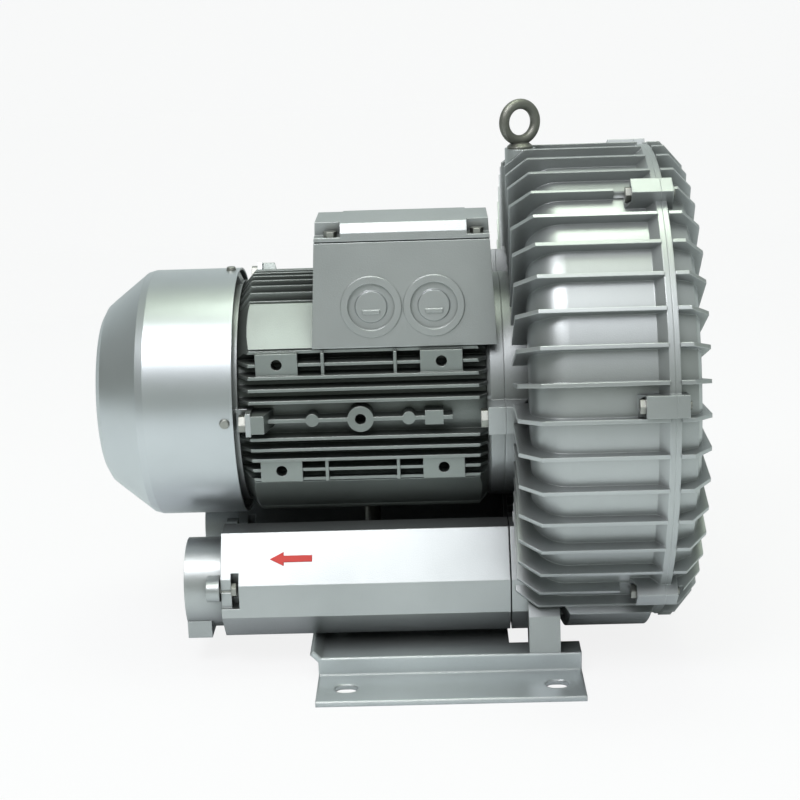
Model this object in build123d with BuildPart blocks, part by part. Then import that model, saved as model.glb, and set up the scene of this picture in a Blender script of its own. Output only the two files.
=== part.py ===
"""Side-channel blower: an electric motor on the left drives a bladed impeller in a finned
two-part casing on the right, with two silencers and a slotted base plate underneath.

Frame: millimetres, +X along the shaft from the fan cowl to the blower cover, +Y to the rear,
+Z up. The origin is the centre of the four base slots on the floor.
"""
from build123d import *
import os
from math import cos, hypot, radians, sin, sqrt

os.makedirs("parts", exist_ok=True)

# Driving dimensions of the whole machine
axis_height = 200.0
fit_gap = 0.1            # clearance of a fixed piece in its seat
running_gap = 0.05       # clearance of a turning shaft in a seal or a sleeve
air_gap = 0.4            # rotor to stator, and impeller rim to casing

# Motor frame
frame_left = -157.0
frame_right = 33.0
frame_bore = 77.5
frame_wall = 5.5
frame_fin_tip = 97.0
frame_fin_pitch = 9.0
side_fin_start = 14.5
top_fin_start = 4.5
frame_fin_thick = 2.4
land_distance = 95.5
land_width = 41.0
pad_spacing = 125.0
pad_height = 42.0
pad_length = 32.0
pad_width = 17.0
pad_hole = 4.2
pad_middle = -63.5
rib_reach = 96.2
pad_reach = 88.6
boss_spacing = 36.7

# End shields and the joint between motor and blower
seam_x = 46.4
neck_radius = 90.0
shield_plate = 6.0
spigot_length = 4.0
hub_wall = 7.0
arm_width = 18.0
arm_right = -146.0
flange_bolt_circle = 101.0
flange_bolt_count = 3
flange_bolt_radius = 4.0
lug_width = 21.0
lug_reach = 111.0
housing_lug_length = 11.2
shield_bolt_circle = 99.0
shield_bolt_count = 3
shield_bolt_radius = 4.0

# Shaft, bearings and seal
bearing_bore = 15.0
bearing_outer = 31.0
bearing_width = 16.0
ball_radius = 4.6
ball_pitch = 23.0
ball_count = 9
groove_radius = 4.9
drive_bearing_x = 28.0
fan_bearing_x = -149.0
shaft_nose = 14.0
shaft_tail = 11.0
shaft_body = 19.0
impeller_bore = 12.0
spring_thick = 3.0
seal_outer = 20.0
seal_width = 7.0

# Stator and rotor packs
core_length = 120.0
core_middle = -60.0
stator_bore = 47.5
winding_reach = 24.0
winding_inner = 51.0
winding_outer = 71.0

# Cooling fan and cowl
cowl_radius = 99.0
cowl_sheet = 1.6
cowl_rim = -160.0
cowl_shoulder = -232.0
cowl_end = -271.0
cowl_end_radius = 71.0
cowl_screw_x = -166.5
cowl_screw_count = 4
cowl_screw_radius = 2.5
fan_left = -222.0
fan_width = 34.0
fan_radius = 82.0
fan_blades = 10
circlip_x = -217.4
circlip_thick = 1.2
grille_rings = 4
grille_sectors = 6
grille_slot = 5.0
grille_pitch = 11.5
grille_bar = 5.0

# Blower casing
drum_radius = 190.0
wall_radius = 182.0
casing_wall = 6.0
split_x = 161.5
flange_radius = 188.0
flange_thick = 4.0
drum_left = 51.5
shoulder_left = 62.0
shoulder_radius = 27.0
fin_count = 45
fin_start = 6.0
fin_thick = 3.0
fin_knee_x = 67.8
fin_knee_radius = 177.0
fin_root = 112.0
web_left = 91.0
bulge_right = 183.5
cover_fin_right = 189.0
cover_fin_knee_x = 175.0
cover_fin_knee_radius = 174.0
cover_hub_radius = 58.0
cover_hub_right = 172.0
stripper_angle = 26.0
joint_lug_count = 7
joint_lug_start = 9.1
joint_lug_width = 16.0
joint_lug_reach = 197.0
joint_lug_left = 140.0
joint_lug_right = 170.3
joint_bolt_circle = 189.0
joint_bolt_radius = 3.0
belly_radius = 196.5
belly_half_angle = 40.0

# Impeller
impeller_left = 100.0
impeller_width = 48.0
blade_root = 124.0
blade_count = 40
blade_thick = 3.0
hub_radius = 30.0
key_width = 8.0
key_rise = 3.3
key_depth = 4.0
key_length = 36.0
washer_thick = 4.0

# Eye bolt
eye_x = 65.0
eye_seat = 389.2
eye_ring_radius = 14.0
eye_section = 4.0
eye_turn = 28.0
eye_thread = 4.0

# Terminal box
box_left = -98.7
box_right = 41.6
box_side_slope = 4.0
box_front_low = -84.0
box_front_high = -72.0
box_rear_low = 8.0
box_rear_high = 2.0
box_split = 132.0
box_wall = 3.5
box_floor = 97.5
lid_height = 13.0
lid_ledge = 3.0
lid_gasket_thick = 1.0
lid_screw = 2.5
box_screw = 2.5
box_screw_spacing = 104.0
box_screw_rise = 8.0
box_screw_rows = 16.0
cable_way = 9.0
board_shift = 17.0
board_thick = 7.0
stud_radius = 2.0
knockout_x = (-53.0, -5.5)
knockout_height = 83.0
knockout_ring = 23.0
knockout_recess = 17.7

# Silencers, port flanges and base
silencer_y = 66.0
silencer_z = 60.0
silencer_left = -176.0
silencer_right = 47.5
silencer_bore = 33.0
gasket_thick = 1.0
duct_bore = 28.0
duct_block_right = 84.0
port_end = -206.0
port_plate = 10.0
port_collar = 35.5
port_thread = 28.3
port_bolt_y = 40.0
port_bolt_z = 68.0
port_bolt = 3.0
ear_thick = 8.0
notch_height = 27.0
notch_length = 14.0
tube_radius = 24.0
tube_wall = 1.5
base_left = -102.0
base_right = 100.5
base_sheet = 4.0
base_wall_y = 127.0
base_flange = 47.0
base_top = 18.0
base_arm = 22.0
notch_left = 46.0
slot_x = 79.75
slot_y = 151.5
slot_length = 18.0
slot_width = 14.0
leg_left = 60.7
leg_right = 84.6
post_x = -61.0
post_radius = 6.5
post_stud = 5.0
foot_x = -88.0
leg_screw_y = 115.0
base_bolt = 4.0
base_bolt_depth = 6.5
base_lip = 6.2

# Values that follow from the ones above
frame_outer = frame_bore + frame_wall
rotor_radius = stator_bore - air_gap
core_left = core_middle - core_length / 2
core_right = core_middle + core_length / 2
chamber_radius = wall_radius - casing_wall
impeller_radius = chamber_radius - 1.0
impeller_right = impeller_left + impeller_width
web_right = impeller_left - 0.8
cover_face = impeller_right + 0.8
channel_left = shoulder_left + casing_wall
channel_right = bulge_right - casing_wall
channel_outer = chamber_radius - 0.4
channel_middle = (blade_root + channel_outer) / 2
gasket_land = land_distance + gasket_thick

leg_middle = (leg_left + leg_right) / 2
base_holes = (
    (post_x, 0),
    (foot_x, -silencer_y),
    (foot_x, silencer_y),
    (leg_middle, -leg_screw_y),
    (leg_middle, leg_screw_y),
)

middle_of_box = (box_left + box_right) / 2
box_seat = Plane(
    origin=(middle_of_box, -land_distance / sqrt(2), axis_height + land_distance / sqrt(2)),
    x_dir=(1, 0, 0),
    z_dir=(0, -1, 1),
)

shaft_axis = Axis((0, 0, axis_height), (1, 0, 0))
shaft_plane = Plane(origin=(0, 0, axis_height), x_dir=(1, 0, 0), z_dir=(0, -1, 0))


def across(x, z=axis_height):
    """Plane square to the shaft at x: local x is +Y, local y is +Z, and its normal is +X."""
    return Plane(origin=(x, 0, z), x_dir=(0, 1, 0), z_dir=(1, 0, 0))


def turn(*points, arc=360.0, start=0.0, mode=Mode.ADD):
    """Solid of revolution about the shaft from (x, radius) points."""
    with BuildSketch(Plane.XY) as profile:
        with BuildLine():
            Polyline(*points, close=True)
        make_face()
    swing = shaft_plane.rotated((start, 0, 0))
    revolve(swing * profile.sketch, axis=shaft_axis, revolution_arc=arc, mode=mode)


def ring(left, right, inner, outer, mode=Mode.ADD):
    """Plain turned ring on the shaft."""
    turn((left, inner), (right, inner), (right, outer), (left, outer), mode=mode)


def plate(points, thickness):
    """Flat plate through the shaft line, from (radius, x) points, for polar patterns."""
    with BuildPart() as made:
        with BuildSketch(Plane.XZ):
            with BuildLine():
                Polyline(*points, close=True)
            make_face()
        extrude(amount=thickness / 2, both=True)
    return made.part


def around(count, start, radius=0.0):
    """Places round the shaft, from start degrees above the front horizontal."""
    turns = [180 - start - 360 / count * k for k in range(count)]
    middle = across(0)
    return [
        middle.location * Location((radius * cos(radians(a)), radius * sin(radians(a)), 0), (0, 0, a))
        for a in turns
    ]


def drill(count, start, circle, radius, left, right, mode=Mode.SUBTRACT):
    """Round holes, or pins with Mode.ADD, along the shaft on a bolt circle."""
    with BuildSketch(across(left)) as holes:
        for k in range(count):
            angle = radians(180 - start - 360 / count * k)
            with Locations((circle * cos(angle), circle * sin(angle))):
                Circle(radius)
    extrude(holes.sketch, amount=right - left, mode=mode)


def bolt(left, right, shank, head, thickness):
    """Hexagon screw along local Z, its head below left and its shank up to right."""
    with BuildPart() as made:
        with BuildSketch(Plane.XY.offset(left)):
            Circle(shank)
        extrude(amount=right - left)
        with BuildSketch(Plane.XY.offset(left)):
            RegularPolygon(head, 6, major_radius=False)
        extrude(amount=-thickness)
    return made.part


def finish(build, name):
    """Name a finished piece and write it."""
    build.part.label = name
    export_step(build.part, f"parts/{name}.step")


def octagon(y, grow=0.0):
    """Silencer section about its centre line at y, front or rear, as (y, z) points."""
    side = -1 if y < 0 else 1
    outline = ((88, 108), (112, 73), (112, 47), (95, 25.5), (44, 25.5), (22, 47), (22, 76), (66, 108))
    points = []
    for across_y, up in outline:
        dy, dz = across_y - silencer_y, up - silencer_z
        reach = hypot(dy, dz)
        scale = (reach + grow) / reach
        points.append((side * (silencer_y + dy * scale), silencer_z + dz * scale))
    return points


# Blower housing: finned cast half with the side channel, neck, ducts and legs
housing_fin = plate(
    (
        (fin_root, drum_left),
        (fin_knee_radius, drum_left),
        (drum_radius, fin_knee_x),
        (drum_radius, split_x - flange_thick),
        (wall_radius - 2, split_x - flange_thick),
        (wall_radius - 2, shoulder_left + shoulder_radius + 2),
        (wall_radius - shoulder_radius / 2, shoulder_left + 6),
        (fin_root, shoulder_left + 2),
    ),
    fin_thick,
)

with BuildPart() as blower_housing:
    # Turned outer form: neck, web, channel bulge, wall and flange
    with BuildSketch(shaft_plane):
        with BuildLine():
            Polyline(
                (split_x, 0),
                (split_x, flange_radius),
                (split_x - flange_thick, flange_radius),
                (split_x - flange_thick - 7, wall_radius),
                (shoulder_left + shoulder_radius, wall_radius),
            )
            RadiusArc(
                (shoulder_left + shoulder_radius, wall_radius),
                (shoulder_left, wall_radius - shoulder_radius),
                -shoulder_radius,
            )
            Polyline(
                (shoulder_left, wall_radius - shoulder_radius),
                (shoulder_left, blade_root + casing_wall),
                (web_left - 8, blade_root - casing_wall),
                (web_left, neck_radius + 2),
                (seam_x, neck_radius),
                (seam_x, 0),
                (split_x, 0),
            )
        make_face()
    revolve(axis=shaft_axis)
    # Belly: thicker wall over the ducts at the bottom
    turn(
        (duct_block_right - 2, wall_radius - 4),
        (duct_block_right + 8, belly_radius),
        (split_x - 8, belly_radius),
        (split_x - flange_thick, flange_radius),
        (split_x - flange_thick, wall_radius - 4),
        arc=2 * belly_half_angle,
        start=180 - belly_half_angle,
    )
    # Radial fins
    with Locations(*around(fin_count, fin_start)):
        add(housing_fin)
    # Ducts that carry the silencer section into the casing
    for y in (-silencer_y, silencer_y):
        with BuildSketch(across(silencer_right + gasket_thick, 0)) as duct:
            with BuildLine():
                Polyline(*octagon(y), close=True)
            make_face()
        extrude(amount=duct_block_right - silencer_right - gasket_thick)
    # Legs down to the base plate
    for side in (-1, 1):
        with BuildSketch(across(leg_left, 0)):
            with BuildLine():
                Polyline(
                    (side * (base_wall_y - 1), base_top),
                    (side * (base_wall_y - base_arm + 1), base_top),
                    (side * 92, 50),
                    (side * 110, 60),
                    (side * (base_wall_y - 5), 46),
                    close=True,
                )
            make_face()
        extrude(amount=leg_right - leg_left)
    # Seat of the eye bolt
    with BuildSketch(Plane.XY.offset(axis_height + wall_radius - shoulder_radius)):
        with Locations((eye_x, 0)):
            Circle(12)
    extrude(amount=eye_seat - axis_height - wall_radius + shoulder_radius)
    # Joint lugs
    with Locations(*around(joint_lug_count, joint_lug_start)):
        add(
            plate(
                (
                    (wall_radius - 4, joint_lug_left - 8),
                    (joint_lug_reach - 9, joint_lug_left),
                    (joint_lug_reach, joint_lug_left),
                    (joint_lug_reach, split_x),
                    (wall_radius - 4, split_x),
                ),
                joint_lug_width,
            )
        )
    # Lugs for the motor flange screws
    with Locations(*around(flange_bolt_count, 0)):
        add(
            plate(
                (
                    (neck_radius - 6, seam_x),
                    (lug_reach, seam_x),
                    (lug_reach, seam_x + housing_lug_length),
                    (neck_radius - 6, seam_x + housing_lug_length + 8),
                ),
                lug_width,
            )
        )
    # Impeller chamber, side channel with its stripper left standing at the bottom, neck and bores
    ring(web_right, split_x, 0, chamber_radius, mode=Mode.SUBTRACT)
    turn(
        (web_right + 1, blade_root),
        (channel_left + 14, blade_root),
        (channel_left + 4, blade_root + 8),
        (channel_left, channel_middle - 8),
        (channel_left, channel_middle + 8),
        (channel_left + 4, channel_outer - 10),
        (channel_left + 12, channel_outer),
        (web_right + 1, channel_outer),
        arc=360 - stripper_angle,
        start=180 + stripper_angle / 2,
        mode=Mode.SUBTRACT,
    )
    ring(seam_x, web_left, 0, neck_radius - casing_wall, mode=Mode.SUBTRACT)
    ring(web_left - 1, web_right - 0.7, 0, seal_outer + fit_gap, mode=Mode.SUBTRACT)
    ring(web_right - 1, web_right + 1, 0, shaft_nose + 1, mode=Mode.SUBTRACT)
    for y in (-silencer_y, silencer_y):
        with BuildSketch(across(silencer_right + gasket_thick, silencer_z)):
            with Locations((y, 0)):
                Circle(duct_bore)
        extrude(amount=channel_left + 6 - silencer_right, mode=Mode.SUBTRACT)
    # Screw holes
    with BuildSketch(Plane.XY.offset(base_top)):
        with Locations((leg_middle, -leg_screw_y), (leg_middle, leg_screw_y)):
            Circle(base_bolt + fit_gap)
    extrude(amount=base_bolt_depth + 1, mode=Mode.SUBTRACT)
    with BuildSketch(Plane.XY.offset(eye_seat - 13)):
        with Locations((eye_x, 0)):
            Circle(eye_thread + fit_gap)
    extrude(amount=20, mode=Mode.SUBTRACT)
    drill(joint_lug_count, joint_lug_start, joint_bolt_circle, joint_bolt_radius + fit_gap,
          joint_lug_left - 1, split_x)
    drill(joint_lug_count, joint_lug_start, joint_bolt_circle, 6.6, joint_lug_left - 12, joint_lug_left)
    drill(flange_bolt_count, 0, flange_bolt_circle, flange_bolt_radius + fit_gap,
          seam_x, seam_x + housing_lug_length)
finish(blower_housing, "blower_housing")

# Blower cover: shallow cast lid with its own channel half, fins and hub
cover_fin = plate(
    (
        (cover_hub_radius - 4, cover_hub_right - 6),
        (blade_root - 10, cover_fin_right),
        (cover_fin_knee_radius, cover_fin_right),
        (drum_radius, cover_fin_knee_x),
        (drum_radius, split_x + flange_thick),
        (wall_radius - 2, split_x + flange_thick),
        (wall_radius - 6, bulge_right - 8),
        (channel_middle + 12, bulge_right - 2),
        (blade_root + 2, bulge_right - 3),
        (blade_root - 4, cover_face + 4),
        (cover_hub_radius - 4, cover_face + 4),
    ),
    fin_thick,
)

with BuildPart() as blower_cover:
    turn(
        (split_x, chamber_radius - 0.5),
        (cover_face, chamber_radius - 0.5),
        (cover_face, 0),
        (cover_hub_right, 0),
        (cover_hub_right, cover_hub_radius),
        (cover_face + casing_wall + 1, cover_hub_radius + 3),
        (cover_face + casing_wall + 1, blade_root - 14),
        (bulge_right - 7, blade_root - 7),
        (bulge_right, blade_root + 3),
        (bulge_right, wall_radius - 17),
        (bulge_right - 4, wall_radius - 6),
        (split_x + flange_thick, wall_radius),
        (split_x + flange_thick, flange_radius),
        (split_x, flange_radius),
    )
    with Locations(*around(fin_count, fin_start)):
        add(cover_fin)
    with Locations(*around(joint_lug_count, joint_lug_start)):
        add(
            plate(
                (
                    (wall_radius - 4, split_x),
                    (joint_lug_reach, split_x),
                    (joint_lug_reach, joint_lug_right),
                    (wall_radius - 6, joint_lug_right),
                ),
                joint_lug_width,
            )
        )
    turn(
        (cover_face - 1, blade_root),
        (channel_right - 14, blade_root),
        (channel_right - 4, blade_root + 8),
        (channel_right, channel_middle - 8),
        (channel_right, channel_middle + 8),
        (channel_right - 4, channel_outer - 9),
        (channel_right - 12, channel_outer - 3),
        (split_x + 2, channel_outer),
        (cover_face - 1, channel_outer),
        arc=360 - stripper_angle,
        start=180 + stripper_angle / 2,
        mode=Mode.SUBTRACT,
    )
    ring(cover_face - 1, split_x, chamber_radius - 0.8, chamber_radius + 4, mode=Mode.SUBTRACT)
    ring(cover_face - 1, cover_hub_right - casing_wall, 0, hub_radius + 4, mode=Mode.SUBTRACT)
    drill(joint_lug_count, joint_lug_start, joint_bolt_circle, joint_bolt_radius + fit_gap,
          split_x - 1, joint_lug_right + 5)
finish(blower_cover, "blower_cover")

# Joint screws: seven hexagon screws through the split lugs
with BuildPart() as joint_screws:
    with Locations(*around(joint_lug_count, joint_lug_start, joint_bolt_circle)):
        add(bolt(joint_lug_left, joint_lug_right + 2, joint_bolt_radius, 5.0, 4.0))
finish(joint_screws, "joint_screws")

# Impeller: hub, web, and blade ring with half-round pockets on both faces
blade = plate(
    (
        (blade_root - 2, impeller_left),
        (impeller_radius, impeller_left),
        (impeller_radius, impeller_right),
        (blade_root - 2, impeller_right),
    ),
    blade_thick,
)
impeller_middle = (impeller_left + impeller_right) / 2

with BuildPart() as impeller:
    turn(
        (impeller_left, impeller_bore + fit_gap),
        (impeller_left, hub_radius),
        (impeller_middle - 5, hub_radius + 3),
        (impeller_middle - 4, blade_root - 12),
        (impeller_left, blade_root - 8),
        (impeller_left, blade_root),
        (impeller_middle - 10, blade_root + 12),
        (impeller_middle - 2, impeller_radius - 16),
        (impeller_middle - 1.5, impeller_radius),
        (impeller_middle + 1.5, impeller_radius),
        (impeller_middle + 2, impeller_radius - 16),
        (impeller_middle + 10, blade_root + 12),
        (impeller_right, blade_root),
        (impeller_right, blade_root - 8),
        (impeller_middle + 4, blade_root - 12),
        (impeller_middle + 5, hub_radius + 3),
        (impeller_right, hub_radius),
        (impeller_right, impeller_bore + fit_gap),
    )
    with Locations(*around(blade_count, 0)):
        add(blade)
    with BuildSketch(across(impeller_left)):
        with Locations((0, impeller_bore)):
            Rectangle(key_width, 2 * key_rise)
    extrude(amount=impeller_width, mode=Mode.SUBTRACT)
finish(impeller, "impeller")

# Shaft: stepped bar with the impeller keyway
with BuildPart() as shaft:
    turn(
        (fan_left + 1, 0),
        (fan_left + 1, shaft_tail),
        (fan_bearing_x - 1, shaft_tail),
        (fan_bearing_x - 1, bearing_bore),
        (fan_bearing_x + bearing_width, bearing_bore),
        (fan_bearing_x + bearing_width, shaft_body),
        (drive_bearing_x, shaft_body),
        (drive_bearing_x, bearing_bore),
        (seam_x + 4, bearing_bore),
        (seam_x + 4, shaft_nose),
        (impeller_left, shaft_nose),
        (impeller_left, impeller_bore),
        (impeller_right - 1, impeller_bore),
        (impeller_right - 1, 0),
    )
    with BuildSketch(across(impeller_left)):
        with Locations((0, impeller_bore)):
            Rectangle(key_width, 2 * key_depth)
    extrude(amount=key_length, mode=Mode.SUBTRACT)
    ring(circlip_x, circlip_x + circlip_thick, shaft_tail - 0.8, shaft_tail + 1, mode=Mode.SUBTRACT)
    with Locations((impeller_right - 1, 0, axis_height)):
        Cylinder(5 + fit_gap, 50, rotation=(0, 90, 0), mode=Mode.SUBTRACT)
finish(shaft, "shaft")

# Impeller key
with BuildPart() as impeller_key:
    with BuildSketch(across(impeller_left)):
        with Locations((0, impeller_bore + (key_rise - key_depth) / 2)):
            Rectangle(key_width - 0.2, key_rise + key_depth - 0.2)
    extrude(amount=key_length - 0.2)
finish(impeller_key, "impeller_key")

# Impeller washer and its screw in the shaft end
with BuildPart() as impeller_washer:
    ring(impeller_right, impeller_right + washer_thick, 5 + fit_gap, hub_radius - 6)
finish(impeller_washer, "impeller_washer")

with BuildPart() as impeller_screw:
    with Locations(across(0).location):
        add(bolt(impeller_right + washer_thick, impeller_right - 22, 5.0, 8.0, -6.4))
finish(impeller_screw, "impeller_screw")

# Rotor pack: laminated cage rotor shrunk on the shaft, with end rings
with BuildPart() as rotor_core:
    ring(core_left, core_right, shaft_body + fit_gap, rotor_radius)
    for end in (core_left - 8, core_right):
        ring(end, end + 8, rotor_radius - 14, rotor_radius - 1)
finish(rotor_core, "rotor_core")

# Stator pack pressed in the frame, and the two winding heads
with BuildPart() as stator_core:
    ring(core_left, core_right, stator_bore, frame_bore - fit_gap)
finish(stator_core, "stator_core")

for name, end in (("winding_head_fan_side", core_left - winding_reach), ("winding_head_drive_side", core_right)):
    with BuildPart() as winding_head:
        ring(end, end + winding_reach, winding_inner, winding_outer)
        fillet(winding_head.edges().filter_by(GeomType.CIRCLE), 6)
    finish(winding_head, name)

# Ball bearings: two rings with a groove, nine balls and a cage at each end of the rotor
for place, left in (("drive", drive_bearing_x), ("fan", fan_bearing_x)):
    middle = left + bearing_width / 2
    half = bearing_width / 2 - fit_gap
    with BuildPart() as groove:
        with BuildSketch(shaft_plane):
            with Locations((middle, ball_pitch)):
                Circle(groove_radius)
        revolve(axis=shaft_axis)
    with BuildPart() as outer_ring:
        ring(middle - half, middle + half, ball_pitch + 3, bearing_outer)
        add(groove.part, mode=Mode.SUBTRACT)
    finish(outer_ring, f"{place}_bearing_outer_ring")
    with BuildPart() as inner_ring:
        ring(middle - half, middle + half, bearing_bore + fit_gap, ball_pitch - 3)
        add(groove.part, mode=Mode.SUBTRACT)
    finish(inner_ring, f"{place}_bearing_inner_ring")
    with BuildPart() as cage:
        ring(middle - 5.4, middle + 5.4, ball_pitch - 1, ball_pitch + 1)
        ball_places = [p * Location((0, 0, middle)) for p in around(ball_count, 0, ball_pitch)]
        with Locations(*ball_places):
            Cylinder(ball_radius + fit_gap, 10, rotation=(0, 90, 0), mode=Mode.SUBTRACT)
    finish(cage, f"{place}_bearing_cage")
    with BuildPart() as balls:
        with Locations(*ball_places):
            Sphere(ball_radius)
    finish(balls, f"{place}_bearing_balls")

# Preload spring washer behind the fan side bearing
with BuildPart() as wave_spring:
    ring(fan_bearing_x - spring_thick, fan_bearing_x, bearing_outer - 5, bearing_outer - 1)
finish(wave_spring, "wave_spring")

# Lip seal in the casing web
with BuildPart() as shaft_seal:
    turn(
        (web_left + 0.5, seal_outer),
        (web_left + 0.5, shaft_nose + 3),
        (web_left + 3, shaft_nose + 3),
        (web_left + 4, shaft_nose + running_gap),
        (web_left + 5.5, shaft_nose + running_gap),
        (web_left + 6, shaft_nose + 3),
        (web_left + seal_width, shaft_nose + 5),
        (web_left + seal_width, seal_outer),
    )
finish(shaft_seal, "shaft_seal")

# Cooling fan: moulded hub, back disc and straight blades, held by a circlip
fan_blade = plate(
    (
        (shaft_tail + 5, fan_left + 2),
        (fan_radius - 14, fan_left),
        (fan_radius, fan_left + 12),
        (fan_radius, fan_left + fan_width - 3),
        (shaft_tail + 5, fan_left + fan_width - 3),
    ),
    2.4,
)
with BuildPart() as cooling_fan:
    ring(fan_left + 6, fan_left + fan_width, shaft_tail, shaft_tail + 9)
    turn(
        (fan_left + fan_width - 4, shaft_tail + 2),
        (fan_left + fan_width, shaft_tail + 2),
        (fan_left + fan_width, fan_radius),
        (fan_left + fan_width - 3, fan_radius),
    )
    with Locations(*around(fan_blades, 18)):
        add(fan_blade)
    ring(fan_left - 4, fan_left + fan_width + 4, 0, shaft_tail + fit_gap, mode=Mode.SUBTRACT)
finish(cooling_fan, "cooling_fan")

with BuildPart() as fan_circlip:
    ring(circlip_x + 0.1, circlip_x + circlip_thick - 0.1, shaft_tail - 0.7, shaft_tail + 3)
finish(fan_circlip, "fan_circlip")


# Motor frame: cast tube with parallel fins, lands, foot pads and the centre rib
with BuildPart() as motor_frame:
    with BuildSketch(across(frame_left)):
        Circle(frame_outer)
        for k in range(5):
            level = side_fin_start + frame_fin_pitch * k
            with Locations((0, level), (0, -level)):
                Rectangle(2 * sqrt(frame_fin_tip**2 - level**2), frame_fin_thick)
        for k in range(6):
            level = top_fin_start + frame_fin_pitch * k
            with Locations((level, 0), (-level, 0)):
                Rectangle(frame_fin_thick, 2 * sqrt(frame_fin_tip**2 - level**2))
        with PolarLocations(land_distance - 10, 4, start_angle=45):
            Rectangle(20, land_width)
    extrude(amount=frame_right - frame_left)
    # Rounded ends of the fins
    turn(
        (frame_left - 1, frame_outer + 2),
        (frame_left + 10, frame_fin_tip + 1),
        (frame_left + 10, lug_reach),
        (frame_left - 1, lug_reach),
        mode=Mode.SUBTRACT,
    )
    turn(
        (frame_right + 1, neck_radius - 1),
        (frame_right - 7, frame_fin_tip + 1),
        (frame_right - 7, lug_reach),
        (frame_right + 1, lug_reach),
        mode=Mode.SUBTRACT,
    )
    # Room for the end shield arms and the flange screws, then the tapped lugs
    with Locations(*around(shield_bolt_count, 0)):
        add(plate(((frame_outer, frame_left - 1), (lug_reach, frame_left - 1),
                   (lug_reach, arm_right), (frame_outer, arm_right)), arm_width + 1), mode=Mode.SUBTRACT)
        add(plate(((neck_radius, frame_right - 14), (lug_reach, frame_right - 14),
                   (lug_reach, frame_right + 1), (neck_radius, frame_right + 1)), arm_width), mode=Mode.SUBTRACT)
        add(plate(((frame_outer - 2, arm_right), (shield_bolt_circle + 7, arm_right),
                   (shield_bolt_circle + 7, arm_right + 10), (frame_outer - 2, arm_right + 16)), arm_width - 4))
    # Foot pads, centre rib, bosses and webs on the front and the rear
    for side in (-1, 1):
        face = Plane(origin=(pad_middle, side * (frame_outer - 4), axis_height), x_dir=(1, 0, 0), z_dir=(0, side, 0))
        with BuildSketch(face):
            with GridLocations(pad_spacing, 2 * pad_height, 2, 2):
                Rectangle(pad_length, pad_width)
            with GridLocations(55, 2 * pad_height, 2, 2):
                Rectangle(frame_fin_thick, pad_width)
        extrude(amount=pad_reach - frame_outer + 4)
        with BuildSketch(face):
            with Locations((-2, 0)):
                Rectangle(144, 3)
            Circle(10)
            with GridLocations(2 * boss_spacing, 1, 2, 1):
                Circle(5)
            with Locations((56, 0)):
                Rectangle(14, 11)
        extrude(amount=rib_reach - frame_outer + 4)
        with BuildSketch(face.offset(pad_reach - frame_outer - 10)):
            with GridLocations(pad_spacing, 2 * pad_height, 2, 2):
                Circle(pad_hole)
            Circle(pad_hole)
        extrude(amount=30, mode=Mode.SUBTRACT)
    # Boss for the support post and the bore
    with BuildSketch(Plane.XY.offset(axis_height - frame_outer - 15)):
        with Locations((post_x, 0)):
            Circle(12)
    extrude(amount=16)
    ring(frame_left, frame_right, 0, frame_bore, mode=Mode.SUBTRACT)
    with BuildSketch(Plane.XY.offset(axis_height - frame_outer - 16)):
        with Locations((post_x, 0)):
            Circle(post_stud + fit_gap)
    extrude(amount=14, mode=Mode.SUBTRACT)
    drill(shield_bolt_count, 0, shield_bolt_circle, shield_bolt_radius + fit_gap, arm_right, arm_right + 8)
    # Cable way and tapped holes in the land under the terminal box
    with BuildSketch(box_seat.offset(-30)):
        Circle(cable_way)
    extrude(amount=40, mode=Mode.SUBTRACT)
    with BuildSketch(box_seat.offset(-11)):
        with Locations((0, box_screw_rise)):
            with GridLocations(box_screw_spacing, box_screw_rows, 2, 2):
                Circle(box_screw + fit_gap)
    extrude(amount=20, mode=Mode.SUBTRACT)
finish(motor_frame, "motor_frame")

# Drive end shield: neck between motor and blower, holds the drive bearing
with BuildPart() as drive_end_shield:
    turn(
        (frame_right - spigot_length, frame_bore - fit_gap),
        (frame_right, frame_bore - fit_gap),
        (frame_right, neck_radius - 2),
        (frame_right + 3, neck_radius),
        (seam_x, neck_radius),
        (seam_x, bearing_bore + 1),
        (drive_bearing_x + bearing_width, bearing_bore + 1),
        (drive_bearing_x + bearing_width, bearing_outer + fit_gap),
        (drive_bearing_x - 2, bearing_outer + fit_gap),
        (drive_bearing_x - 2, bearing_outer + hub_wall),
        (frame_right + 5, bearing_outer + hub_wall + 2),
        (frame_right + 5, frame_bore - 7),
        (frame_right - spigot_length, frame_bore - 6),
    )
    with Locations(*around(flange_bolt_count, 0)):
        add(plate(((neck_radius - 4, frame_right), (lug_reach, frame_right),
                   (lug_reach, seam_x), (neck_radius - 4, seam_x)), lug_width))
    drill(flange_bolt_count, 0, flange_bolt_circle, flange_bolt_radius + fit_gap, frame_right, seam_x)
finish(drive_end_shield, "drive_end_shield")

# Flange screws: motor to blower
with BuildPart() as flange_screws:
    with Locations(*around(flange_bolt_count, 0, flange_bolt_circle)):
        add(bolt(frame_right, seam_x + housing_lug_length, flange_bolt_radius, 6.5, 5.3))
finish(flange_screws, "flange_screws")

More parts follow.
